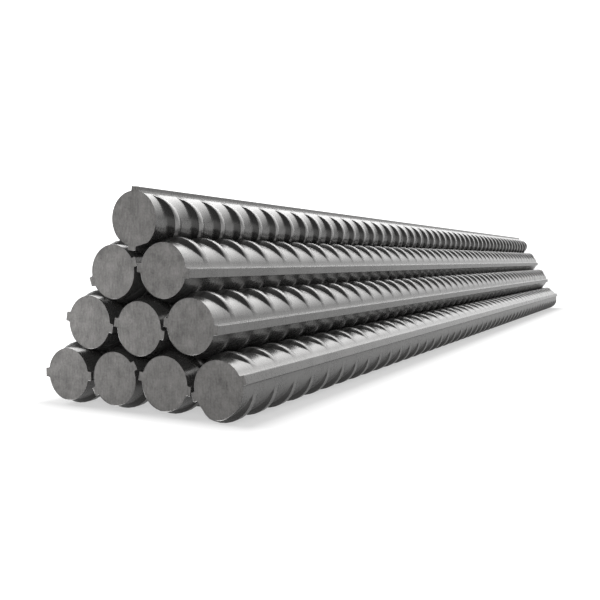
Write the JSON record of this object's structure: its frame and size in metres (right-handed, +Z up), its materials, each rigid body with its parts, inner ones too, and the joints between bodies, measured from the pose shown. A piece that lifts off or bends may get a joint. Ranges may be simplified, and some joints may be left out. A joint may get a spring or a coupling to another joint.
{
  "type": "rebar bundle",
  "caption": "Loose triangular stack of short deformed steel reinforcing bars, with long ribs, crescent cross ribs and flush sawn ends.",
  "frame": {"origin": "on the floor, under the middle of the stack's box", "axes": "+Y along the bars from the near ends to the far ends, +X across the rows to the right as seen from the near ends, +Z up"},
  "size_m": [0.1408, 1.058, 0.1233],
  "materials": {
    "bar_steel": "rolled grey steel with a satin sheen and flat, matt sawn ends"
  },
  "bodies": {
    "root": {"bottom_bar_left": "bar_steel", "bottom_bar_mid_left": "bar_steel", "bottom_bar_mid_right": "bar_steel", "bottom_bar_right": "bar_steel", "lower_bar_left": "bar_steel", "lower_bar_middle": "bar_steel", "lower_bar_right": "bar_steel", "upper_bar_left": "bar_steel", "upper_bar_right": "bar_steel", "top_bar": "bar_steel"}
  },
  "joints": []
}
